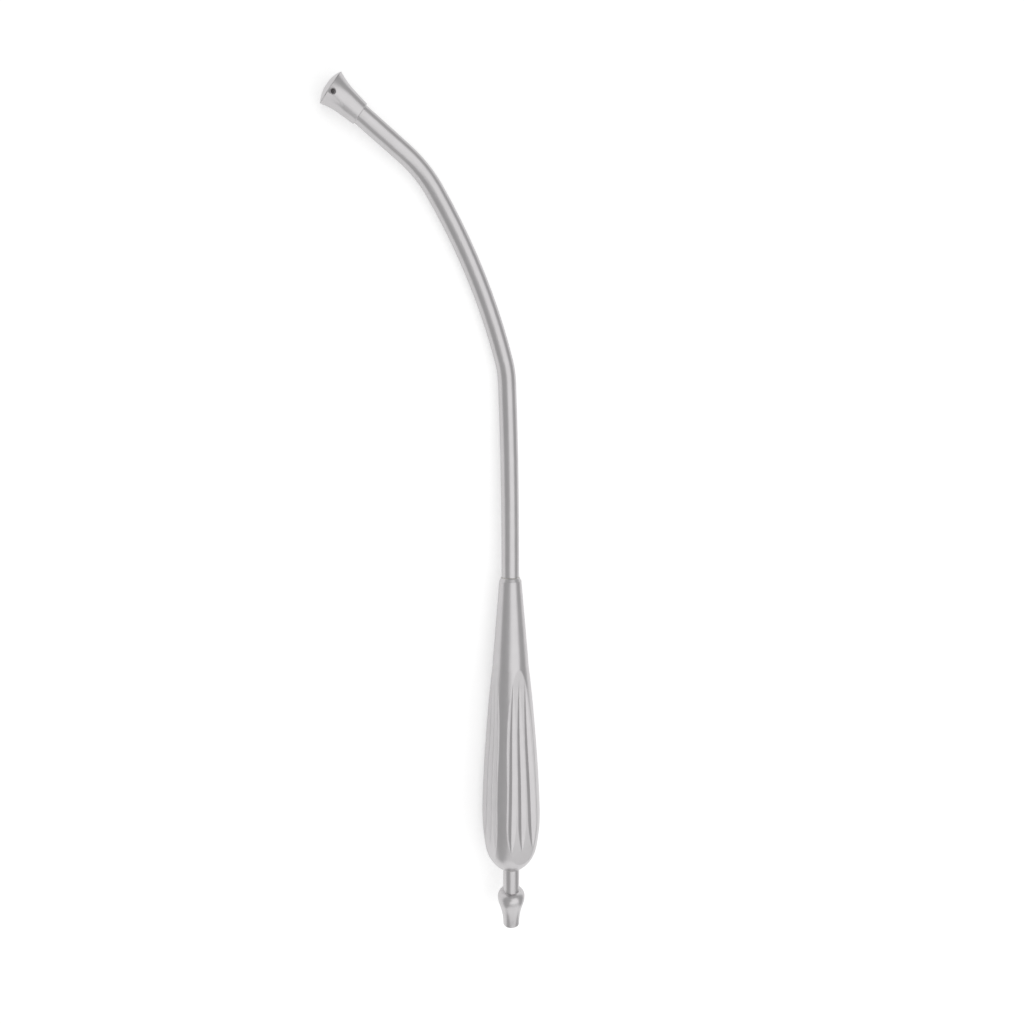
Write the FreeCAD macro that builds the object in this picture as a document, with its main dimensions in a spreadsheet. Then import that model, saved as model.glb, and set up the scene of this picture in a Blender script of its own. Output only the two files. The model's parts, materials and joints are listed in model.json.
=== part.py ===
# A steel surgical suction tube: a bent tube with a screwed trumpet tip, a fluted hollow grip
# and a turned hose nipple. It lies on its side, as it comes to rest on a table.
#
# Every piece is drawn upright first: +Z runs from the nipple's open end towards the tip, and the
# tube bends in the XZ plane towards +X. One placement then lays all of them down together.

import FreeCAD, Part
import Sketcher
import math
import os
from FreeCAD import Placement, Rotation, Vector

os.makedirs("parts", exist_ok=True)
doc = FreeCAD.newDocument("suction_tube")

# Driving sizes in millimetres and degrees. "Along" sizes are measured from the nipple's open end.
DRIVING = [
    # the drawn tube and its route
    ("tube_radius", 3.05),
    ("tube_wall", 0.6),
    ("straight_end", 145.3),
    ("bow_curve", 1334.0),
    ("bow_turn", 2.26),
    ("first_bend_curve", 28.7),
    ("first_bend_turn", 13.53),
    ("sweep_curve", 182.9),
    ("sweep_turn", 17.86),
    ("second_bend_curve", 35.8),
    ("second_bend_turn", 22.25),
    ("tip_run", 15.9),
    # the crease that bending left inside the second bend
    ("crease_depth", 0.4),
    ("crease_curve", 2.4),
    ("crease_turn", 9.0),
    # the hose nipple, turned from bar
    ("nipple_bore", 1.95),
    ("nipple_end_radius", 2.94),
    ("nipple_flare_curve", 22.6),
    ("nipple_flare_radius", 4.05),
    ("nipple_flare_along", 7.0),
    ("olive_rise_radius", 4.55),
    ("olive_rise_along", 8.5),
    ("olive_rise_curve", 6.0),
    ("olive_radius", 4.93),
    ("olive_along", 10.6),
    ("olive_shoulder_curve", 2.45),
    ("nipple_neck_radius", 2.95),
    ("nipple_neck_along", 13.3),
    ("nipple_above_floor", 1.0),
    ("nipple_spigot", 8.0),
    # the hollow grip
    ("shell_foot_along", 22.35),
    ("dome_curve", 12.44),
    ("dome_radius", 9.32),
    ("dome_along", 31.0),
    ("belly_curve", 68.4),
    ("belly_radius", 10.52),
    ("belly_along", 45.5),
    ("body_curve", 620.0),
    ("crest_radius", 6.4),
    ("crest_along", 99.0),
    ("neck_base_radius", 6.17),
    ("neck_base_along", 102.4),
    ("collar_radius", 3.88),
    ("collar_along", 129.6),
    ("collar_face_radius", 3.2),
    ("shell_top_along", 130.9),
    ("shell_wall", 1.6),
    ("face_wall", 1.2),
    ("dome_inner", 6.2),
    ("neck_wall", 1.0),
    ("collar_seat", 8.0),
    ("outline_turn", 45.0),
    # the four faces and the three grooves on each; each follows a long arc that stands proudest
    # at its "level", and leaves it at a "joint" for a shorter arc that runs out of the steel
    ("face_turn", 1.6),
    ("flat_start", 24.0),
    ("flat_reach", 12.0),
    ("flat_level", 42.0),
    ("flat_height", 8.6),
    ("flat_curve", 350.0),
    ("flat_neck_curve", 531.0),
    ("groove_level", 42.0),
    ("groove_height", 8.0),
    ("groove_curve", 386.0),
    ("groove_neck_curve", 375.0),
    ("groove_foot_curve", 140.0),
    ("neck_joint", 67.0),
    ("neck_end", 104.0),
    ("foot_joint", 44.0),
    ("foot_end", 29.0),
    ("groove_cutter", 1.2),
    ("groove_flank_turn", 22.0),
    ("groove_lean_turn", 1.8),
    ("groove_meet", 169.0),
    # the trumpet tip, measured from its open sleeve end
    ("sleeve_radius", 3.49),
    ("sleeve_chamfer", 0.12),
    ("trumpet_cone_radius", 3.95),
    ("trumpet_cone_along", 5.0),
    ("trumpet_curve", 18.4),
    ("mouth_radius", 5.28),
    ("mouth_along", 10.2),
    ("mouth_wall", 0.8),
    ("chamber_depth", 2.4),
    ("seam_chamfer", 0.06),
    ("relief_radius", 0.65),
    ("relief_flare", 0.45),
    ("relief_below_mouth", 1.15),
    ("relief_turn", 61.0),
    ("socket_depth", 3.0),
    # the domed cap that closes the trumpet, measured from its seat
    ("cap_rise", 1.39),
    ("cap_plate", 0.7),
    ("cap_hole", 1.6),
    # the screw bush soldered into the tube's end
    ("bush_inside", 8.0),
    ("bush_outside", 3.6),
    ("bush_bore", 1.75),
    # clearances
    ("solder_gap", 0.02),
    ("running_gap", 0.05),
    ("end_gap", 0.1),
]

# Sizes that follow from the driving ones.
DERIVED = [
    ("tube_bore", "tube_radius - tube_wall"),
    ("tube_start", "shell_foot_along + shell_wall + nipple_above_floor"),
    ("straight_run", "straight_end - tube_start"),
    ("plug_radius", "tube_bore - solder_gap"),
    ("neck_hole", "nipple_neck_radius + solder_gap"),
    ("tube_hole", "tube_radius + solder_gap"),
    ("nipple_top_along", "tube_start + nipple_spigot"),
    # the headings and places at the ends of the tube's bends
    ("sweep_heading", "bow_turn + first_bend_turn"),
    ("second_heading", "sweep_heading + sweep_turn"),
    ("tip_heading", "second_heading + second_bend_turn"),
    ("bow_across", "bow_curve * (1 - cos(bow_turn))"),
    ("bow_along", "straight_end + bow_curve * sin(bow_turn)"),
    ("first_across", "bow_across + first_bend_curve * (cos(bow_turn) - cos(sweep_heading))"),
    ("first_along", "bow_along + first_bend_curve * (sin(sweep_heading) - sin(bow_turn))"),
    ("sweep_across", "first_across + sweep_curve * (cos(sweep_heading) - cos(second_heading))"),
    ("sweep_along", "first_along + sweep_curve * (sin(second_heading) - sin(sweep_heading))"),
    ("second_across", "sweep_across + second_bend_curve * (cos(second_heading) - cos(tip_heading))"),
    ("second_along", "sweep_along + second_bend_curve * (sin(tip_heading) - sin(second_heading))"),
    ("sleeve_across", "second_across + tip_run * sin(tip_heading)"),
    ("sleeve_along", "second_along + tip_run * cos(tip_heading)"),
    # the crease's rounded notch, on the side that the bend's centre is on
    ("crease_heading", "second_heading + crease_turn"),
    ("crease_reach", "second_bend_curve - tube_radius - crease_curve + crease_depth"),
    ("crease_across", "sweep_across + second_bend_curve * cos(second_heading)"
                      " - crease_reach * cos(crease_heading)"),
    ("crease_along", "sweep_along - second_bend_curve * sin(second_heading)"
                     " + crease_reach * sin(crease_heading)"),
    # the grip's inside
    ("shell_floor_along", "shell_foot_along + shell_wall"),
    ("belly_inner", "groove_height - face_wall"),
    ("neck_base_inner", "neck_base_radius - shell_wall"),
    ("seat_along", "shell_top_along - collar_seat"),
    ("neck_slope", "(neck_base_radius - collar_radius) / (collar_along - neck_base_along)"),
    ("seat_inner", "collar_radius + neck_slope * (collar_along - seat_along) - neck_wall"),
    # the centre of the long curve between the belly and the crest, and the body's radius on it
    ("body_chord", "sqrt((belly_radius - crest_radius)^2 + (crest_along - belly_along)^2)"),
    ("body_reach", "sqrt(body_curve^2 - body_chord^2 / 4)"),
    ("body_centre", "(belly_radius + crest_radius) / 2"
                    " - body_reach * (crest_along - belly_along) / body_chord"),
    ("body_level", "(belly_along + crest_along) / 2"
                   " - body_reach * (belly_radius - crest_radius) / body_chord"),
    # where the paths of a face and of a groove start, a groove's V-shaped cutter, and how far
    # out the side grooves start
    ("flat_centre", "flat_height - flat_curve"),
    ("flat_start_height", "flat_centre + sqrt(flat_curve^2 - (flat_start - flat_level)^2)"),
    ("groove_centre", "groove_height - groove_curve"),
    ("groove_top", "groove_foot_end_height + groove_cutter"),
    ("groove_half", "groove_cutter / tan(groove_flank_turn)"),
    ("groove_start_across", "(groove_meet - foot_end) * sin(groove_lean_turn)"),
    # the trumpet
    ("sleeve_edge", "sleeve_radius - sleeve_chamfer"),
    ("socket_radius", "tube_radius + running_gap"),
    ("tube_in_tip", "socket_depth - end_gap"),
    ("tube_end_run", "tip_run + tube_in_tip"),
    ("thread_radius", "plug_radius + running_gap"),
    ("chamber_along", "mouth_along - chamber_depth"),
    ("trumpet_chord", "sqrt((mouth_radius - trumpet_cone_radius)^2 + (mouth_along - trumpet_cone_along)^2)"),
    ("trumpet_reach", "sqrt(trumpet_curve^2 - trumpet_chord^2 / 4)"),
    ("trumpet_centre", "(mouth_radius + trumpet_cone_radius) / 2"
                       " + trumpet_reach * (mouth_along - trumpet_cone_along) / trumpet_chord"),
    ("trumpet_level", "(mouth_along + trumpet_cone_along) / 2"
                      " - trumpet_reach * (mouth_radius - trumpet_cone_radius) / trumpet_chord"),
    ("chamber_radius", "trumpet_centre - mouth_wall"
                       " - sqrt(trumpet_curve^2 - (chamber_along - trumpet_level)^2)"),
    ("seam_radius", "mouth_radius - seam_chamfer"),
    ("mouth_inner", "seam_radius - mouth_wall"),
    ("seam_along", "mouth_along - seam_chamfer"),
    ("relief_along", "mouth_along - relief_below_mouth"),
    ("relief_surface", "trumpet_centre - sqrt(trumpet_curve^2 - (relief_along - trumpet_level)^2)"),
    ("relief_base", "relief_surface - relief_flare"),
    ("relief_rim", "relief_radius + relief_flare"),
    ("relief_outside", "relief_surface + relief_flare"),
    ("relief_rim_outside", "relief_rim + relief_flare"),
    ("relief_inside", "relief_surface / 2"),
    ("relief_wall_level", "relief_along + relief_radius"),
    ("relief_rim_level", "relief_along + relief_rim_outside"),
    # the cap
    ("cap_curve", "(mouth_radius^2 + cap_rise^2) / (2 * cap_rise)"),
    ("cap_edge_along", "seam_chamfer * 2"),
    ("cap_hole_along", "cap_edge_along + cap_rise - cap_curve + sqrt(cap_curve^2 - cap_hole^2)"),
    ("cap_under_along", "cap_hole_along - cap_plate"),
    # the bush
    ("bush_length", "bush_inside + bush_outside"),
]

# An arc that leaves the long arc of a face or groove smoothly and turns the other way: its joint
# with the long arc, its centre, and the height it ends at. FORM is the face or groove, WAY the end.
LEAD = [
    ("FORM_WAY_height", "FORM_centre + sqrt(FORM_curve^2 - (WAY_joint - FORM_level)^2)"),
    ("FORM_WAY_centre", "FORM_WAY_height"
                        " + (FORM_WAY_height - FORM_centre) * FORM_WAY_curve / FORM_curve"),
    ("FORM_WAY_level", "WAY_joint + (WAY_joint - FORM_level) * FORM_WAY_curve / FORM_curve"),
    ("FORM_WAY_end_height", "FORM_WAY_centre"
                            " - sqrt(FORM_WAY_curve^2 - (WAY_end - FORM_WAY_level)^2)"),
]
LEADS = []
for form, way in (("flat", "neck"), ("groove", "neck"), ("groove", "foot")):
    for pair in LEAD:
        LEADS.append(tuple(text.replace("FORM", form).replace("WAY", way) for text in pair))

sheet = doc.addObject("Spreadsheet::Sheet", "sizes")
CELLS = [(alias, str(value)) for alias, value in DRIVING]
CELLS += [(alias, "=" + formula) for alias, formula in LEADS + DERIVED]
for row, (alias, content) in enumerate(CELLS, start=1):
    sheet.set("A%d" % row, alias)
    sheet.set("B%d" % row, content)
    sheet.setAlias("B%d" % row, alias)
doc.recompute()


def size(alias):
    """The value of a named size; None stands for a point on the axis."""
    return float(getattr(sheet, alias)) if alias else 0.0


def new_body(label):
    body = doc.addObject("PartDesign::Body", label)
    body.Label = label
    return body


def new_sketch(body, name, role, height=None):
    """A sketch on one of the body's origin planes, lifted by a named height if one is given."""
    sketch = body.newObject("Sketcher::SketchObject", name)
    plane = next(item for item in body.Origin.OriginFeatures if item.Role == role)
    sketch.AttachmentSupport = [(plane, "")]
    sketch.MapMode = "FlatFace"
    if height:
        sketch.setExpression("AttachmentOffset.Base.z", "sizes." + height)
    return sketch


def rule(sketch, kind, *values, alias=None, unit=""):
    """Add a constraint, and bind its value to a named size."""
    if alias:
        amount = math.radians(size(alias)) if unit else size(alias)
        index = sketch.addConstraint(Sketcher.Constraint(kind, *values, amount))
        sketch.setExpression("Constraints[%d]" % index, "sizes." + alias + unit)
    else:
        sketch.addConstraint(Sketcher.Constraint(kind, *values))


def pin(sketch, number, end, across, along):
    """Hold one end of a line or arc at two named distances; None puts it on the axis."""
    if across:
        rule(sketch, "DistanceX", -1, 1, number, end, alias=across)
    else:
        rule(sketch, "PointOnObject", number, end, -2)
    if along:
        rule(sketch, "DistanceY", -1, 1, number, end, alias=along)
    else:
        rule(sketch, "PointOnObject", number, end, -1)


def arc_between(start, end, radius):
    """A short arc from start to end that turns right, or left if the radius is negative."""
    chord = end - start
    right = Vector(chord.y, -chord.x, 0).normalize()
    reach = math.sqrt(radius * radius - chord.Length ** 2 / 4)
    centre = (start + end) * 0.5 + right * math.copysign(reach, radius)
    middle = centre + ((start + end) * 0.5 - centre).normalize() * abs(radius)
    return Part.Arc(start, middle, end)


def draw(sketch, points, arcs, closed=True):
    """Lines and arcs through named points; arcs gives a segment's radius and which way it turns."""
    places = [Vector(size(across), size(along), 0) for across, along in points]
    count = len(points) if closed else len(points) - 1
    ends = []
    for number in range(count):
        start = places[number]
        end = places[(number + 1) % len(places)]
        if number in arcs:
            alias, way = arcs[number]
            sketch.addGeometry(arc_between(start, end, way * size(alias)), False)
            rule(sketch, "Radius", number, alias=alias)
        else:
            sketch.addGeometry(Part.LineSegment(start, end), False)
        first = 1 if sketch.getPoint(number, 1).distanceToPoint(start) < 1e-6 else 2
        ends.append((first, 3 - first))
    for number in range(count):
        if number or closed:
            rule(sketch, "Coincident", (number - 1) % count, ends[number - 1][1], number, ends[number][0])
        pin(sketch, number, ends[number][0], *points[number])
    if not closed:
        pin(sketch, count - 1, ends[-1][1], *points[-1])
    return ends


# Which way an arc turns, and how many sides and relief holes there are.
RIGHT = 1
LEFT = -1
GRIP_SIDES = 4
RELIEF_HOLES = 3

# For finding the resting pose: rings on each section, rounds of correction, and a small trial lean.
RING_STEPS = 40
LEAN_ROUNDS = 30
NUDGE = 1e-5


def turned_body(label, points, arcs):
    """A piece turned on a lathe, from its outline in the XZ plane."""
    body = new_body(label)
    sketch = new_sketch(body, label + "_outline", "XZ_Plane")
    draw(sketch, points, arcs)
    turning = body.newObject("PartDesign::Revolution", label + "_turning")
    turning.Profile = sketch
    turning.ReferenceAxis = (sketch, ["V_Axis"])
    turning.Angle = 360
    return body


def check_cuts(steps):
    """Each step of a body must add faces to the one before it, or its cut has missed."""
    counts = [len(step.Shape.Faces) for step in steps]
    assert counts == sorted(set(counts)), "a cut has missed: %s %s" % (steps[-1].Name, counts)


def make_suction_tube():
    """The tube, bent from one straight length; its route is drawn once and a ring is swept along it."""
    body = new_body("suction_tube")
    route = new_sketch(body, "tube_route", "XZ_Plane")
    place = Vector(0, size("tube_start"), 0)
    heading = 0.0
    runs = [
        ("straight_run", None),
        ("bow_curve", "bow_turn"),
        ("first_bend_curve", "first_bend_turn"),
        ("sweep_curve", "sweep_turn"),
        ("second_bend_curve", "second_bend_turn"),
        ("tube_end_run", None),
    ]
    for number, (length, turn) in enumerate(runs):
        start = place
        if turn is None:
            place = start + Vector(math.sin(heading), math.cos(heading), 0) * size(length)
            route.addGeometry(Part.LineSegment(start, place), False)
        else:
            centre = start + Vector(math.cos(heading), -math.sin(heading), 0) * size(length)
            heading += math.radians(size(turn))
            place = centre + Vector(-math.cos(heading), math.sin(heading), 0) * size(length)
            route.addGeometry(arc_between(start, place, size(length)), False)
        first = 1 if route.getPoint(number, 1).distanceToPoint(start) < 1e-6 else 2
        if number == 0:
            pin(route, 0, first, None, "tube_start")
            rule(route, "Vertical", 0)
        else:
            rule(route, "Tangent", number - 1, last, number, first)
        last = 3 - first
        if turn is None:
            rule(route, "Distance", number, alias=length)
        else:
            rule(route, "Radius", number, alias=length)
            rule(route, "Angle", number, alias=turn, unit=" * 1 deg")
    ring = new_sketch(body, "tube_ring", "XY_Plane", "tube_start")
    for number, alias in enumerate(("tube_radius", "tube_bore")):
        ring.addGeometry(Part.Circle(Vector(0, 0, 0), Vector(0, 0, 1), size(alias)), False)
        rule(ring, "Coincident", number, 3, -1, 1)
        rule(ring, "Radius", number, alias=alias)
    doc.recompute()
    pipe = body.newObject("PartDesign::AdditivePipe", "tube_sweep")
    pipe.Profile = ring
    pipe.Spine = (route, ["Edge%d" % (number + 1) for number in range(len(runs))])
    notch = new_sketch(body, "crease_notch", "XZ_Plane")
    middle = Vector(size("crease_across"), size("crease_along"), 0)
    notch.addGeometry(Part.Circle(middle, Vector(0, 0, 1), size("crease_curve")), False)
    pin(notch, 0, 3, "crease_across", "crease_along")
    rule(notch, "Radius", 0, alias="crease_curve")
    crease = body.newObject("PartDesign::Pocket", "bend_crease")
    crease.Profile = notch
    crease.Type = "ThroughAll"
    crease.Midplane = True
    doc.recompute()
    check_cuts([pipe, crease])
    return body


def make_hose_nipple():
    points = [
        ("nipple_bore", None),
        ("nipple_end_radius", None),
        ("nipple_flare_radius", "nipple_flare_along"),
        ("olive_rise_radius", "olive_rise_along"),
        ("olive_radius", "olive_along"),
        ("nipple_neck_radius", "nipple_neck_along"),
        ("nipple_neck_radius", "tube_start"),
        ("plug_radius", "tube_start"),
        ("plug_radius", "nipple_top_along"),
        ("nipple_bore", "nipple_top_along"),
    ]
    arcs = {
        1: ("nipple_flare_curve", RIGHT),
        3: ("olive_rise_curve", LEFT),
        4: ("olive_shoulder_curve", LEFT),
    }
    return turned_body("hose_nipple", points, arcs)


def cut_face(body):
    """Take one flat face off the round grip; the sketch shows it from the side."""
    points = [
        ("flat_start_height", "flat_start"),
        ("flat_neck_height", "neck_joint"),
        ("flat_neck_end_height", "neck_end"),
        ("flat_reach", "neck_end"),
        ("flat_reach", "flat_start"),
    ]
    sketch = new_sketch(body, "face_side_view", "XZ_Plane")
    draw(sketch, points, {0: ("flat_curve", LEFT), 1: ("flat_neck_curve", RIGHT)})
    face = body.newObject("PartDesign::Pocket", "face")
    face.Profile = sketch
    face.Type = "ThroughAll"
    face.Midplane = True
    doc.recompute()
    return face


def cut_groove(body, name, side):
    """One V-shaped groove in a face; the side grooves (side 1 and -1) lean in towards the neck."""
    points = [
        ("groove_foot_end_height", "foot_end"),
        ("groove_foot_height", "foot_joint"),
        ("groove_neck_height", "neck_joint"),
        ("groove_neck_end_height", "neck_end"),
    ]
    arcs = {
        0: ("groove_foot_curve", RIGHT),
        1: ("groove_curve", LEFT),
        2: ("groove_neck_curve", RIGHT),
    }
    route = new_sketch(body, name + "_route", "XZ_Plane")
    route.AttachmentOffset = Placement(Vector(), Rotation(Vector(1, 0, 0), 1))
    lean = "%d * sizes.groove_lean_turn * 1 deg" % side
    route.setExpression("AttachmentOffset.Rotation.Angle", lean)
    route.setExpression("AttachmentOffset.Base.y", "sizes.groove_meet * (1 - cos(%s))" % lean)
    route.setExpression("AttachmentOffset.Base.z", "-1 * sizes.groove_meet * sin(%s)" % lean)
    draw(route, points, arcs, closed=False)
    cutter = new_sketch(body, name + "_cutter", "XY_Plane", "foot_end")
    cutter.setExpression("AttachmentOffset.Base.y", "%d * sizes.groove_start_across" % side)
    bottom = Vector(size("groove_foot_end_height"), 0, 0)
    left = Vector(size("groove_top"), size("groove_half"), 0)
    right = Vector(size("groove_top"), -size("groove_half"), 0)
    for number, (start, end) in enumerate([(bottom, left), (left, right), (right, bottom)]):
        cutter.addGeometry(Part.LineSegment(start, end), False)
        if number:
            rule(cutter, "Coincident", number - 1, 2, number, 1)
    rule(cutter, "Coincident", 2, 2, 0, 1)
    pin(cutter, 0, 1, "groove_foot_end_height", None)
    pin(cutter, 0, 2, "groove_top", "groove_half")
    rule(cutter, "Symmetric", 1, 1, 1, 2, -1)
    doc.recompute()
    groove = body.newObject("PartDesign::SubtractivePipe", name)
    groove.Profile = cutter
    groove.Spine = (route, ["Edge1", "Edge2", "Edge3"])
    doc.recompute()
    return groove


def make_handle_shell():
    """The hollow grip: a round shell with four flat faces and three grooves in each."""
    points = [
        ("neck_hole", "shell_foot_along"),
        ("dome_radius", "dome_along"),
        ("belly_radius", "belly_along"),
        ("crest_radius", "crest_along"),
        ("neck_base_radius", "neck_base_along"),
        ("collar_radius", "collar_along"),
        ("collar_face_radius", "shell_top_along"),
        ("tube_hole", "shell_top_along"),
        ("tube_hole", "seat_along"),
        ("seat_inner", "seat_along"),
        ("neck_base_inner", "neck_base_along"),
        ("belly_inner", "belly_along"),
        ("dome_inner", "dome_along"),
        ("neck_hole", "shell_floor_along"),
    ]
    arcs = {
        0: ("dome_curve", LEFT),
        1: ("belly_curve", LEFT),
        2: ("body_curve", LEFT),
    }
    body = new_body("handle_shell")
    sketch = new_sketch(body, "handle_shell_outline", "XZ_Plane")
    sketch.AttachmentOffset = Placement(Vector(), Rotation(Vector(0, 1, 0), 1))
    sketch.setExpression("AttachmentOffset.Rotation.Angle", "sizes.outline_turn * 1 deg")
    draw(sketch, points, arcs)
    turning = body.newObject("PartDesign::Revolution", "handle_shell_turning")
    turning.Profile = sketch
    turning.ReferenceAxis = (sketch, ["V_Axis"])
    turning.Angle = 360
    doc.recompute()
    cuts = [
        cut_face(body),
        cut_groove(body, "middle_groove", 0),
        cut_groove(body, "left_groove", 1),
        cut_groove(body, "right_groove", -1),
    ]
    sides = body.newObject("PartDesign::PolarPattern", "four_sides")
    sides.Originals = cuts
    sides.Axis = (sketch, ["V_Axis"])
    sides.Angle = 360
    sides.Occurrences = GRIP_SIDES
    body.Tip = sides
    doc.recompute()
    check_cuts([turning] + cuts + [sides])
    return body


def make_tip_body():
    """The trumpet that screws on to the tube, with three countersunk relief holes near its mouth."""
    points = [
        ("socket_radius", None),
        ("sleeve_edge", None),
        ("sleeve_radius", "sleeve_chamfer"),
        ("trumpet_cone_radius", "trumpet_cone_along"),
        ("mouth_radius", "seam_along"),
        ("seam_radius", "mouth_along"),
        ("mouth_inner", "mouth_along"),
        ("chamber_radius", "chamber_along"),
        ("thread_radius", "chamber_along"),
        ("thread_radius", "socket_depth"),
        ("socket_radius", "socket_depth"),
    ]
    body = turned_body("tip_body", points, {3: ("trumpet_curve", RIGHT)})
    outline = [
        ("relief_inside", "relief_along"),
        ("relief_outside", "relief_along"),
        ("relief_outside", "relief_rim_level"),
        ("relief_base", "relief_wall_level"),
        ("relief_inside", "relief_wall_level"),
    ]
    drill = new_sketch(body, "relief_drill", "XZ_Plane")
    draw(drill, outline, {})
    doc.recompute()
    hole = body.newObject("PartDesign::Groove", "relief_hole")
    hole.Profile = drill
    hole.ReferenceAxis = (drill, ["Edge1"])
    hole.Angle = 360
    doc.recompute()
    ring = body.newObject("PartDesign::PolarPattern", "relief_ring")
    ring.Originals = [hole]
    ring.Axis = (body.Group[0], ["V_Axis"])
    ring.Angle = 360
    ring.Occurrences = RELIEF_HOLES
    body.Tip = ring
    doc.recompute()
    check_cuts([body.Group[1], hole, ring])
    return body


def make_tip_cap():
    """The domed plate soldered into the trumpet's mouth, with the suction opening in its middle."""
    points = [
        ("cap_hole", "cap_under_along"),
        ("mouth_inner", None),
        ("seam_radius", None),
        ("mouth_radius", "seam_chamfer"),
        ("mouth_radius", "cap_edge_along"),
        ("cap_hole", "cap_hole_along"),
    ]
    return turned_body("tip_cap", points, {4: ("cap_curve", LEFT)})


def make_tip_bush():
    """The screw bush: its plain part is soldered into the tube, its end holds the tip."""
    points = [
        ("bush_bore", None),
        ("plug_radius", None),
        ("plug_radius", "bush_length"),
        ("bush_bore", "bush_length"),
    ]
    return turned_body("tip_bush", points, {})


def on_tip(distance, turn=0.0):
    """A placement on the tip's axis, a distance beyond its sleeve end and turned about the axis."""
    lean = Rotation(Vector(0, 1, 0), size("tip_heading"))
    start = Vector(size("sleeve_across"), 0, size("sleeve_along"))
    turned = lean.multiply(Rotation(Vector(0, 0, 1), turn))
    return Placement(start + lean.multVec(Vector(0, 0, distance)), turned)


def arc_height(form, along):
    """How far out the long arc of a face or of the round body stands, at a level along the grip."""
    rise = along - size(form + "_level")
    return size(form + "_centre") + math.sqrt(size(form + "_curve") ** 2 - rise ** 2)


def resting_sections():
    """What can touch the table, as rings (centre, axis, radius): the edges of the grip's lower face,
    which are points, the outside of the first bend, and the mouth."""
    upright = Vector(0, 0, 1)
    turned = Rotation(upright, size("face_turn"))
    start = math.radians(size("bow_turn"))
    curve = size("first_bend_curve")
    edges = []
    bend = []
    for step in range(RING_STEPS + 1):
        share = step / RING_STEPS
        along = size("belly_along") + share * (size("neck_joint") - size("belly_along"))
        height = arc_height("flat", along)
        across = math.sqrt(arc_height("body", along) ** 2 - height ** 2)
        for side in (1, -1):
            edges.append((turned.multVec(Vector(side * across, -height, along)), upright, 0.0))
        heading = start + share * math.radians(size("first_bend_turn"))
        across = size("bow_across") + curve * (math.cos(start) - math.cos(heading))
        level = size("bow_along") + curve * (math.sin(heading) - math.sin(start))
        axis = Vector(math.sin(heading), 0, math.cos(heading))
        bend.append((Vector(across, 0, level), axis, size("tube_radius")))
    edge = on_tip(size("mouth_along") + size("cap_edge_along"))
    mouth = [(edge.Base, edge.Rotation.multVec(upright), size("mouth_radius"))]
    return edges, bend, mouth


def lowest(rings, up):
    """How low a set of rings reaches, where up is the direction square to the table."""
    return min(up.dot(centre) - radius * math.sqrt(1 - up.dot(axis) ** 2) for centre, axis, radius in rings)


def table_direction():
    """The direction square to the table on which grip, bend and mouth all rest, near the bend plane's."""
    sections = resting_sections()
    lean = [0.0, 0.0]

    def misses(tilt):
        up = Vector(tilt[0], 1, tilt[1]).normalize()
        grip, bend, mouth = [lowest(rings, up) for rings in sections]
        return bend - grip, mouth - grip

    for _ in range(LEAN_ROUNDS):
        here = misses(lean)
        slopes = []
        for axis in range(2):
            moved = list(lean)
            moved[axis] += NUDGE
            there = misses(moved)
            slopes.append([(there[row] - here[row]) / NUDGE for row in range(2)])
        (first_a, first_b), (second_a, second_b) = slopes
        scale = first_a * second_b - first_b * second_a
        lean[0] -= (here[0] * second_b - here[1] * second_a) / scale
        lean[1] -= (here[1] * first_a - here[0] * first_b) / scale
    return Vector(lean[0], 1, lean[1]).normalize()


def lying_placement():
    """Turn the upright model on to the table, with the grip's axis above the +Y direction."""
    up = table_direction()
    upright = Vector(0, 0, 1)
    forward = (upright - up * up.dot(upright)).normalize()
    side = forward.cross(up)
    turn = FreeCAD.Matrix(
        side.x, side.y, side.z, 0,
        forward.x, forward.y, forward.z, 0,
        up.x, up.y, up.z, 0,
        0, 0, 0, 1)
    return Placement(turn)


pieces = [
    (make_suction_tube(), Placement()),
    (make_hose_nipple(), Placement()),
    (make_handle_shell(), Placement(Vector(), Rotation(Vector(0, 0, 1), size("face_turn")))),
    (make_tip_bush(), on_tip(size("tube_in_tip") - size("bush_inside"))),
    (make_tip_body(), on_tip(0, size("relief_turn"))),
    (make_tip_cap(), on_tip(size("mouth_along"))),
]
lying = lying_placement()
box = FreeCAD.BoundBox()
for body, place in pieces:
    body.Placement = lying.multiply(place)
doc.recompute()
for body, place in pieces:
    box.add(body.Shape.optimalBoundingBox(False, False))
origin = Vector(-box.Center.x, -box.Center.y, -box.ZMin)
for body, place in pieces:
    body.Placement = Placement(origin, Rotation()).multiply(body.Placement)
doc.recompute()

for item in doc.Objects:
    assert not {"Invalid", "Error"} & set(item.State), item.Name + " failed"
for body, place in pieces:
    shape = body.Shape
    good = not shape.isNull() and shape.isValid() and len(shape.Solids) == 1
    assert good, body.Label + " is not one good solid"
for body, place in pieces:
    body.Shape.exportStep("parts/%s.step" % body.Label)
    print(body.Label, round(body.Shape.Volume, 1))
tip_way = lying.Rotation.multVec(on_tip(0).Rotation.multVec(Vector(0, 0, 1)))
grip_way = lying.Rotation.multVec(Vector(0, 0, 1))
print("size", round(box.XLength, 3), round(box.YLength, 3), round(box.ZLength, 3))
print("nipple end", origin, "axis", grip_way)
print("mouth", pieces[-1][0].Placement.Base, "axis", tip_way)
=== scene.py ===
# Looks of a steel surgical suction tube that lies on a pale table: satin steel, solder, a screw
# thread under the tip, soft studio light and the camera. Everything is in metres, in the row frame.

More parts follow.
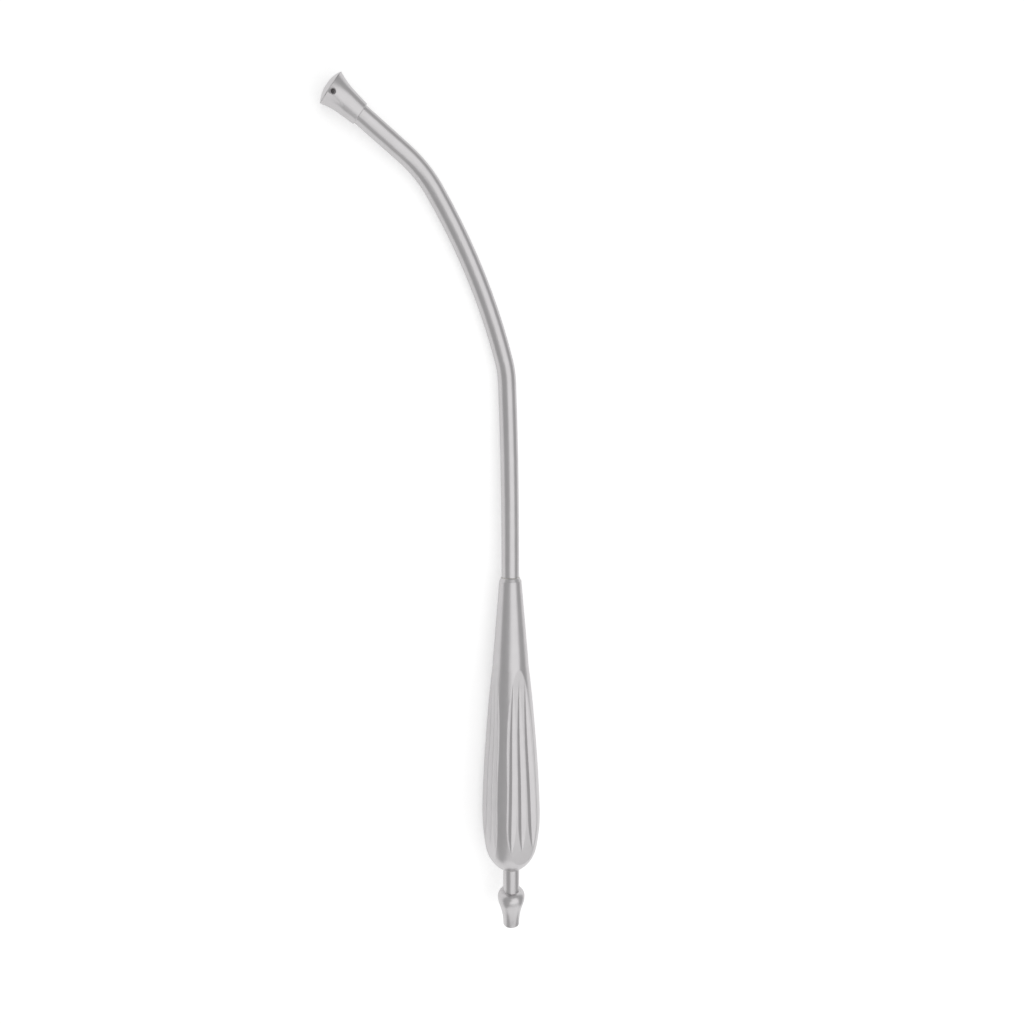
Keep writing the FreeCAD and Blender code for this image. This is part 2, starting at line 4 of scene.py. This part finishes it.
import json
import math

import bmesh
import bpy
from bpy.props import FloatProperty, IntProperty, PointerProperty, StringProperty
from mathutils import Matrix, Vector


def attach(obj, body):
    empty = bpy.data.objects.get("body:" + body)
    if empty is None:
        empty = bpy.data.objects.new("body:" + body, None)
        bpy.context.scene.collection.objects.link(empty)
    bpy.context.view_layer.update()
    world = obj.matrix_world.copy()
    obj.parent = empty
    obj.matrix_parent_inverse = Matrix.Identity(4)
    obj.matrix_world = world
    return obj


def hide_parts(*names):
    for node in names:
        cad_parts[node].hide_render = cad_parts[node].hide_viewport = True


bl_info = {
    "name": "Suction tube looks",
    "version": (1, 0, 0),
    "blender": (4, 5, 0),
    "location": "View3D > Sidebar > Suction tube",
    "description": "Materials, small pieces, light and camera for a steel suction tube",
    "category": "Object",
}

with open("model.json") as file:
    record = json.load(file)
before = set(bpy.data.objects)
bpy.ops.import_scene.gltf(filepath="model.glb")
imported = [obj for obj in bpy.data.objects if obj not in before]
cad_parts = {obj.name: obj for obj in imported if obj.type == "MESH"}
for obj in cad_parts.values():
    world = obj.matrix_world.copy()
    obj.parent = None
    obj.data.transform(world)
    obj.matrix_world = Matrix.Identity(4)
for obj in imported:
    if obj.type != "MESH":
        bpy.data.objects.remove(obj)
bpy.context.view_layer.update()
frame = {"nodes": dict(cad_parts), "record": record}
MM = 0.001

# The camera in the upright tool's own directions, fitted to the outlines in the photograph: X is the
# side that the tube bends to, Z runs along the grip, and the nipple's open end is the origin.
CAMERA_PLACE = Vector((108.672, 224.665, 185.563)) * MM
CAMERA_VIEW = Vector((-0.43423, -0.89189, -0.12641))
CAMERA_UP = Vector((-0.05752, -0.11259, 0.99197))
FOCAL_PIXELS = 729.6
IMAGE_PIXELS = 1024
SENSOR_MM = 36.0
# Sizes of the solid pieces in millimetres, measured up the grip from the nipple's open end.
TUBE_RADIUS = 3.05
NECK_RADIUS = 2.95
FOOT_LEVEL = 22.35
COLLAR_TOP = 130.9
# The bush's bore and outside, and where it and the tube start and end, measured from the sleeve end.
BUSH_BORE = 1.75
BUSH_RADIUS = 2.43
BUSH_START = -5.1
TUBE_END = 2.9
BUSH_END = 6.5
# The trumpet's sleeve end, measured in the same way as the camera.
SLEEVE_PLACE = Vector((48.7403, 0.0, 274.8833)) * MM

# The steel: fine polishing marks, 25 times as long as they are apart, faint clouds and a fine grain;
# the clouds' darkest and brightest tone, and how far the marks move the roughness and the surface.
MARKS_MM = 0.0625
STRETCH = 0.04
CLOUDS_MM = 4.0
GRAIN_MM = 0.11
CLOUD_TONES = (0.94, 1.04)
ROUGHNESS_SPREAD = 0.05
MARKS_STRENGTH = 0.25
MARKS_DEPTH_MM = 0.002
# The solder: cast spots, the smoothest and the roughest of them, and how far they move the surface.
SPOTS_MM = 0.4
SPOTS_ROUGHNESS = (0.35, 0.5)
SPOTS_STRENGTH = 0.4
SPOTS_DEPTH_MM = 0.01

# How far the table reaches from its middle, and how near the camera sees, in metres.
TABLE_REACH = 3.0
NEAREST = 0.01
# Softboxes: place, and width and length, in metres, the setting that gives the brightness, and
# whether it is turned towards the tool. The one over the tip is narrower than the one over the
# grip, and the low one stands beyond the hose end.
SOFTBOXES = {
    "grip_softbox": ((0.1, -0.345, 0.6), (0.84, 0.51), "lamp", False),
    "tip_softbox": ((0.175, 0.255, 0.6), (0.69, 0.69), "lamp", False),
    "low_softbox": ((0.1, -0.9, 0.32), (1.0, 0.64), "low_lamp", True),
}
# The light inside the hollow tip comes in through small holes and needs many bounces.
BOUNCES = 20


def upright_directions():
    """Where the upright tool's origin and directions lie now, and the tip's axis, from the record."""
    record = frame["record"]
    lumen = next(mount for mount in record["mounts"] if mount["name"] == "lumen")
    joint = next(item for item in record["behaviour"]["joints"] if item["name"] == "tip_slide")
    outward = Vector(lumen["axis"]).normalized()
    nipple_end = Vector(lumen["pos_m"]) + outward * lumen["dims"]["length_mm"] * MM / 2
    tip = Vector(joint["axis"]).normalized()
    grip = -outward
    side = (tip - grip * tip.dot(grip)).normalized()
    turn = Matrix((side, grip.cross(side), grip)).transposed()
    return nipple_end, turn, tip


NIPPLE_END, UPRIGHT, TIP_AXIS = upright_directions()
GRIP_AXIS = UPRIGHT @ Vector((0, 0, 1))
SLEEVE_END = NIPPLE_END + UPRIGHT @ SLEEVE_PLACE


def linear(hex_colour):
    """A #rrggbb colour, as seen on screen, turned into linear light with alpha."""
    values = [int(hex_colour[place:place + 2], 16) / 255 for place in (1, 3, 5)]
    return [v / 12.92 if v <= 0.04045 else ((v + 0.055) / 1.055) ** 2.4 for v in values] + [1.0]


def add_node(tree, kind, links=None, **settings):
    """Add a node; links joins its inputs to other sockets, settings fill its inputs or attributes."""
    node = tree.nodes.new(kind)
    for name, value in settings.items():
        if hasattr(node, name):
            setattr(node, name, value)
        else:
            node.inputs[name.replace("_", " ")].default_value = value
    for name, socket in (links or {}).items():
        target = node.inputs[name] if isinstance(name, int) else node.inputs[name.replace("_", " ")]
        tree.links.new(socket, target)
    return node


def new_material(name):
    """An empty node material and its tree."""
    material = bpy.data.materials.new(name)
    material.use_nodes = True
    material.node_tree.nodes.clear()
    return material, material.node_tree


def satin_steel(name, colour, roughness, along, turned, edge_mm):
    """Satin stainless steel; its fine polishing marks run round the piece's axis, or along it, and
    its edges look rounded by edge_mm."""
    material, tree = new_material(name)
    place = add_node(tree, "ShaderNodeTexCoord").outputs["Object"]
    depth = add_node(tree, "ShaderNodeVectorMath", {0: place}, operation="DOT_PRODUCT")
    depth.inputs[1].default_value = along
    # The part of the place that lies along the axis, and the rest of it.
    axial = add_node(tree, "ShaderNodeVectorMath", operation="SCALE")
    axial.inputs[0].default_value = along
    tree.links.new(depth.outputs["Value"], axial.inputs["Scale"])
    across = add_node(tree, "ShaderNodeVectorMath", {0: place, 1: axial.outputs[0]},
                      operation="SUBTRACT")
    fine, coarse = (1.0, STRETCH) if turned else (STRETCH, 1.0)
    fine_part = add_node(tree, "ShaderNodeVectorMath", {0: axial.outputs[0]},
                         operation="SCALE", Scale=fine)
    rest_part = add_node(tree, "ShaderNodeVectorMath", {0: across.outputs[0]},
                         operation="SCALE", Scale=coarse)
    marks_at = add_node(tree, "ShaderNodeVectorMath",
                        {0: fine_part.outputs[0], 1: rest_part.outputs[0]}, operation="ADD")
    marks = add_node(tree, "ShaderNodeTexNoise", {"Vector": marks_at.outputs[0]},
                     Scale=1 / (MARKS_MM * MM), Detail=3.0, Roughness=0.6)
    clouds = add_node(tree, "ShaderNodeTexNoise", {"Vector": place},
                      Scale=1 / (CLOUDS_MM * MM), Detail=2.0)
    grain = add_node(tree, "ShaderNodeTexNoise", {"Vector": place},
                     Scale=1 / (GRAIN_MM * MM), Detail=2.0)
    tone = add_node(tree, "ShaderNodeMapRange", {"Value": clouds.outputs[0]},
                    To_Min=CLOUD_TONES[0], To_Max=CLOUD_TONES[1])
    # A colour mix has its factor at input 0 and its two colours at 6 and 7.
    shade = add_node(tree, "ShaderNodeMix", data_type="RGBA", blend_type="MULTIPLY")
    shade.inputs[0].default_value = 1.0
    shade.inputs[6].default_value = linear(colour)
    tree.links.new(tone.outputs[0], shade.inputs[7])
    rough = add_node(tree, "ShaderNodeMapRange", {"Value": marks.outputs[0]},
                     To_Min=roughness - ROUGHNESS_SPREAD, To_Max=roughness + ROUGHNESS_SPREAD)
    relief = add_node(tree, "ShaderNodeMath", {0: marks.outputs[0], 1: grain.outputs[0]},
                      operation="ADD")
    soft = add_node(tree, "ShaderNodeBevel", samples=4, Radius=edge_mm * MM)
    bump = add_node(tree, "ShaderNodeBump", {"Height": relief.outputs[0], "Normal": soft.outputs[0]},
                    Strength=MARKS_STRENGTH, Distance=MARKS_DEPTH_MM * MM)
    shader = add_node(tree, "ShaderNodeBsdfPrincipled",
                      {"Base Color": shade.outputs[2], "Roughness": rough.outputs[0],
                       "Normal": bump.outputs[0]},
                      Metallic=1.0)
    add_node(tree, "ShaderNodeOutputMaterial", {"Surface": shader.outputs[0]})
    return material


def silver_solder(name, colour):
    """Silver solder, a little yellower and duller than the steel round it."""
    material, tree = new_material(name)
    place = add_node(tree, "ShaderNodeTexCoord").outputs["Object"]
    spots = add_node(tree, "ShaderNodeTexNoise", {"Vector": place},
                     Scale=1 / (SPOTS_MM * MM), Detail=3.0)
    rough = add_node(tree, "ShaderNodeMapRange", {"Value": spots.outputs[0]},
                     To_Min=SPOTS_ROUGHNESS[0], To_Max=SPOTS_ROUGHNESS[1])
    bump = add_node(tree, "ShaderNodeBump", {"Height": spots.outputs[0]},
                    Strength=SPOTS_STRENGTH, Distance=SPOTS_DEPTH_MM * MM)
    shader = add_node(tree, "ShaderNodeBsdfPrincipled",
                      {"Roughness": rough.outputs[0], "Normal": bump.outputs[0]},
                      Base_Color=linear(colour), Metallic=1.0)
    add_node(tree, "ShaderNodeOutputMaterial", {"Surface": shader.outputs[0]})
    return material


def on_axis(start, axis):
    """A matrix whose Z runs along an axis and whose origin is the axis's start."""
    side = axis.cross(Vector((0, 0, 1))).normalized()
    turn = Matrix((side, axis.cross(side), axis)).transposed().to_4x4()
    return Matrix.Translation(start) @ turn


def spun_piece(name, outline, matrix, steps, body, material):
    """A ring turned from a closed outline of (radius, along) in millimetres, about an axis."""
    mesh = bmesh.new()
    corners = [mesh.verts.new((radius * MM, 0, along * MM)) for radius, along in outline]
    edges = [mesh.edges.new(pair) for pair in zip(corners, corners[1:] + corners[:1])]
    bmesh.ops.spin(mesh, geom=corners + edges, cent=(0, 0, 0), axis=(0, 0, 1), dvec=(0, 0, 0),
                   angle=2 * math.pi, steps=steps, use_merge=True, use_normal_flip=False,
                   use_duplicate=False)
    return finished(mesh, name, matrix, body, material)


def finished(mesh, name, matrix, body, material):
    """Turn a bmesh into an object that rides on a body."""
    mesh.transform(matrix)
    bmesh.ops.recalc_face_normals(mesh, faces=mesh.faces[:])
    data = bpy.data.meshes.new(name)
    mesh.to_mesh(data)
    mesh.free()
    data.polygons.foreach_set("use_smooth", [True] * len(data.polygons))
    data.materials.append(material)
    piece = bpy.data.objects.new(name, data)
    bpy.context.scene.collection.objects.link(piece)
    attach(piece, body)
    return piece


class SteelProperties(bpy.types.PropertyGroup):
    colour: StringProperty(name="Colour", description="Steel colour as #rrggbb", default="#cccacb")
    roughness: FloatProperty(name="Roughness", description="Roughness of the satin finish", default=0.3)
    edge: FloatProperty(name="Edge", description="Rounding of sharp edges in mm", default=0.12)
    ridge: FloatProperty(name="Ridge", description="Rounding of the grip's ridges in mm", default=0.45)


class SolderProperties(bpy.types.PropertyGroup):
    colour: StringProperty(name="Colour", description="Solder colour as #rrggbb", default="#c6c3ba")
    fillet: FloatProperty(name="Fillet", description="Height of the solder fillets in mm", default=0.16)
    sunk: FloatProperty(name="Sunk", description="How far the solder reaches into the joint in mm",
                        default=0.05)
    steps: IntProperty(name="Steps", description="Steps round a fillet", default=96)


class ThreadProperties(bpy.types.PropertyGroup):
    pitch: FloatProperty(name="Pitch", description="Thread pitch in mm", default=0.5)
    depth: FloatProperty(name="Depth", description="Thread depth in mm", default=0.27)
    ridge_share: FloatProperty(name="Ridge share", description="Width of a ridge's foot over the pitch",
                               default=0.84)
    crest_share: FloatProperty(name="Crest share", description="Width of a ridge's crest over the pitch",
                               default=0.12)
    chamfer: FloatProperty(name="Chamfer", description="Chamfer at the bush's end in mm", default=0.1)
    steps: IntProperty(name="Steps", description="Steps in one turn", default=72)


class StageProperties(bpy.types.PropertyGroup):
    table: StringProperty(name="Table", description="Table colour as #rrggbb", default="#e8e8e8")
    world: FloatProperty(name="World", description="Strength of the even grey surround", default=0.5)
    lamp: FloatProperty(name="Lamp", description="Brightness of the softboxes above", default=0.64)
    low_lamp: FloatProperty(name="Low lamp",
                            description="Brightness of the low softbox beyond the hose end", default=0.5)
    glow: FloatProperty(name="Glow", description="What the table adds for the camera", default=0.45)
    gleam: FloatProperty(name="Gleam", description="What the table adds in reflections", default=0.36)


class SUCTION_OT_steel(bpy.types.Operator):
    """Give every CAD node its satin steel"""
    bl_idname = "suction.steel"
    bl_label = "Finish the steel"

    def execute(self, context):
        settings = context.scene.suction_steel
        looks = {
            "tube_steel": (GRIP_AXIS, False, settings.edge),
            "grip_steel": (GRIP_AXIS, False, settings.ridge),
            "nipple_steel": (GRIP_AXIS, True, settings.edge),
            "tip_steel": (TIP_AXIS, True, settings.edge),
        }
        finishes = {
            name: satin_steel("satin_" + name, settings.colour, settings.roughness, *look)
            for name, look in looks.items()
        }
        wearing = {
            "suction_tube": "tube_steel",
            "handle_shell": "grip_steel",
            "hose_nipple": "nipple_steel",
            "tip_bush": "tip_steel",
            "tip_body": "tip_steel",
            "tip_cap": "tip_steel",
        }
        for node, finish in wearing.items():
            data = frame["nodes"][node].data
            data.materials.clear()
            data.materials.append(finishes[finish])
        return {"FINISHED"}


class SUCTION_OT_solder(bpy.types.Operator):
    """Run small solder fillets where tube, grip and nipple are joined"""
    bl_idname = "suction.solder"
    bl_label = "Run the solder"

    def execute(self, context):
        settings = context.scene.suction_solder
        material = silver_solder("silver_solder", settings.colour)
        matrix = on_axis(NIPPLE_END, GRIP_AXIS)
        reach, sunk = settings.fillet, settings.sunk
        # The tube where it leaves the collar, and the nipple's neck where it meets the grip's foot.
        collar = [
            (TUBE_RADIUS - sunk, COLLAR_TOP - sunk),
            (TUBE_RADIUS + reach, COLLAR_TOP - sunk),
            (TUBE_RADIUS + reach / 3, COLLAR_TOP + reach / 3),
            (TUBE_RADIUS, COLLAR_TOP + reach),
        ]
        foot = [
            (NECK_RADIUS - sunk, FOOT_LEVEL + sunk),
            (NECK_RADIUS + reach, FOOT_LEVEL + sunk),
            (NECK_RADIUS + reach / 3, FOOT_LEVEL - reach / 3),
            (NECK_RADIUS, FOOT_LEVEL - reach),
        ]
        spun_piece("collar_solder", collar, matrix, settings.steps, "tube_and_grip",
                   material)
        spun_piece("foot_solder", foot, matrix, settings.steps, "tube_and_grip",
                   material)
        return {"FINISHED"}


class SUCTION_OT_thread(bpy.types.Operator):
    """Cut the screw thread on the bush that carries the tip"""
    bl_idname = "suction.thread"
    bl_label = "Cut the thread"

    def execute(self, context):
        settings = context.scene.suction_thread
        material = bpy.data.materials["satin_tip_steel"]
        chamfer = settings.chamfer
        root = BUSH_RADIUS - settings.depth
        relief = TUBE_END + settings.pitch
        core = [
            (BUSH_BORE, BUSH_START),
            (BUSH_RADIUS, BUSH_START),
            (BUSH_RADIUS, relief - 2 * chamfer),
            (root, relief),
            (root, BUSH_END - chamfer),
            (root - chamfer, BUSH_END),
            (BUSH_BORE + chamfer, BUSH_END),
            (BUSH_BORE, BUSH_END - chamfer),
        ]
        matrix = on_axis(SLEEVE_END, TIP_AXIS)
        piece = spun_piece("bush_core", core, matrix, settings.steps, "tube_and_grip",
                           material)
        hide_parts("tip_bush")
        turns = int((BUSH_END - relief - 2 * chamfer) / settings.pitch)
        mesh = bmesh.new()
        half = settings.pitch * settings.ridge_share / 2
        crest = settings.pitch * settings.crest_share / 2
        buried = root - chamfer / 2
        ridge = [(buried, -half), (BUSH_RADIUS, -crest), (BUSH_RADIUS, crest), (buried, half)]
        start = relief + half
        corners = [mesh.verts.new((radius * MM, 0, (start + along) * MM)) for radius, along in ridge]
        edges = [mesh.edges.new(pair) for pair in zip(corners, corners[1:] + corners[:1])]
        mesh.faces.new(corners)
        rise = settings.pitch * MM / settings.steps
        bmesh.ops.spin(mesh, geom=mesh.faces[:], cent=(0, 0, 0), axis=(0, 0, 1), dvec=(0, 0, rise),
                       angle=2 * math.pi * turns, steps=settings.steps * turns, use_merge=False,
                       use_normal_flip=False, use_duplicate=False)
        finished(mesh, "bush_thread", matrix, "tube_and_grip", material)
        return {"FINISHED"}


class SUCTION_OT_stage(bpy.types.Operator):
    """Set the table, the light and the camera"""
    bl_idname = "suction.stage"
    bl_label = "Set the stage"

    def execute(self, context):
        settings = context.scene.suction_stage
        self.lay_table(settings)
        self.light_world(settings)
        for name, (place, sizes, setting, turned) in SOFTBOXES.items():
            self.hang_softbox(name, place, sizes, getattr(settings, setting), turned)
        self.place_camera(context.scene)
        context.scene.view_settings.view_transform = "Standard"
        context.scene.cycles.max_bounces = BOUNCES
        context.scene.cycles.glossy_bounces = BOUNCES
        return {"FINISHED"}

    def lay_table(self, settings):
        """A large pale plane under the object; the camera and reflections see it a little brighter."""
        mesh = bmesh.new()
        bmesh.ops.create_grid(mesh, x_segments=1, y_segments=1, size=TABLE_REACH)
        data = bpy.data.meshes.new("table")
        mesh.to_mesh(data)
        mesh.free()
        table = bpy.data.objects.new("table", data)
        bpy.context.scene.collection.objects.link(table)
        material, tree = new_material("matt_pale_table")
        diffuse = add_node(tree, "ShaderNodeBsdfDiffuse", Color=linear(settings.table))
        path = add_node(tree, "ShaderNodeLightPath")
        seen = add_node(tree, "ShaderNodeMath", {0: path.outputs["Is Camera Ray"]},
                        operation="MULTIPLY")
        seen.inputs[1].default_value = settings.glow
        strength = add_node(tree, "ShaderNodeMath",
                            {0: path.outputs["Is Glossy Ray"], 2: seen.outputs[0]},
                            operation="MULTIPLY_ADD")
        strength.inputs[1].default_value = settings.gleam
        glow = add_node(tree, "ShaderNodeEmission", {"Strength": strength.outputs[0]})
        both = add_node(tree, "ShaderNodeAddShader", {0: diffuse.outputs[0], 1: glow.outputs[0]})
        add_node(tree, "ShaderNodeOutputMaterial", {"Surface": both.outputs[0]})
        data.materials.append(material)

    def light_world(self, settings):
        """An even grey surround that lights the object; the camera sees it white."""
        world = bpy.data.worlds.new("surround")
        world.use_nodes = True
        tree = world.node_tree
        tree.nodes.clear()
        path = add_node(tree, "ShaderNodeLightPath")
        grey = add_node(tree, "ShaderNodeBackground", Color=(1, 1, 1, 1), Strength=settings.world)
        white = add_node(tree, "ShaderNodeBackground", Color=(1, 1, 1, 1), Strength=1.0)
        mix = add_node(tree, "ShaderNodeMixShader",
                       {0: path.outputs["Is Camera Ray"], 1: grey.outputs[0], 2: white.outputs[0]})
        add_node(tree, "ShaderNodeOutputWorld", {"Surface": mix.outputs[0]})
        bpy.context.scene.world = world

    def hang_softbox(self, name, place, sizes, brightness, turned):
        """A softbox that faces straight down, or is turned towards the tool."""
        lamp = bpy.data.lights.new(name, "AREA")
        lamp.shape = "RECTANGLE"
        lamp.size, lamp.size_y = sizes
        lamp.energy = brightness * math.pi * lamp.size * lamp.size_y
        box = bpy.data.objects.new(name, lamp)
        box.location = place
        if turned:
            box.rotation_euler = (-Vector(place)).to_track_quat("-Z", "Y").to_euler()
        bpy.context.scene.collection.objects.link(box)

    def place_camera(self, scene):
        """The photograph's viewpoint."""
        data = bpy.data.cameras.new("camera")
        data.sensor_width = SENSOR_MM
        data.lens = FOCAL_PIXELS * SENSOR_MM / IMAGE_PIXELS
        data.clip_start = NEAREST
        camera = bpy.data.objects.new("camera", data)
        right = CAMERA_VIEW.cross(CAMERA_UP).normalized()
        up = right.cross(CAMERA_VIEW).normalized()
        turn = UPRIGHT @ Matrix((right, up, -CAMERA_VIEW.normalized())).transposed()
        camera.matrix_world = Matrix.Translation(NIPPLE_END + UPRIGHT @ CAMERA_PLACE) @ turn.to_4x4()
        scene.collection.objects.link(camera)
        scene.camera = camera


class SUCTION_PT_panel(bpy.types.Panel):
    """The looks, one button for each group"""
    bl_label = "Suction tube"
    bl_idname = "SUCTION_PT_panel"
    bl_space_type = "VIEW_3D"
    bl_region_type = "UI"
    bl_category = "Suction tube"

    def draw(self, context):
        scene = context.scene
        groups = [
            (scene.suction_steel, "suction.steel"),
            (scene.suction_solder, "suction.solder"),
            (scene.suction_thread, "suction.thread"),
            (scene.suction_stage, "suction.stage"),
        ]
        for settings, operator in groups:
            box = self.layout.box()
            for name in type(settings).__annotations__:
                box.prop(settings, name)
            box.operator(operator)


GROUPS = {
    "suction_steel": SteelProperties,
    "suction_solder": SolderProperties,
    "suction_thread": ThreadProperties,
    "suction_stage": StageProperties,
}
CLASSES = [*GROUPS.values(), SUCTION_OT_steel, SUCTION_OT_solder, SUCTION_OT_thread,
           SUCTION_OT_stage, SUCTION_PT_panel]


def register():
    for item in CLASSES:
        bpy.utils.register_class(item)
    for name, group in GROUPS.items():
        setattr(bpy.types.Scene, name, PointerProperty(type=group))


def unregister():
    for name in GROUPS:
        delattr(bpy.types.Scene, name)
    for item in reversed(CLASSES):
        bpy.utils.unregister_class(item)


def main():
    register()
    bpy.ops.suction.steel()
    bpy.ops.suction.solder()
    bpy.ops.suction.thread()
    bpy.ops.suction.stage()


if __name__ == "__main__":
    main()
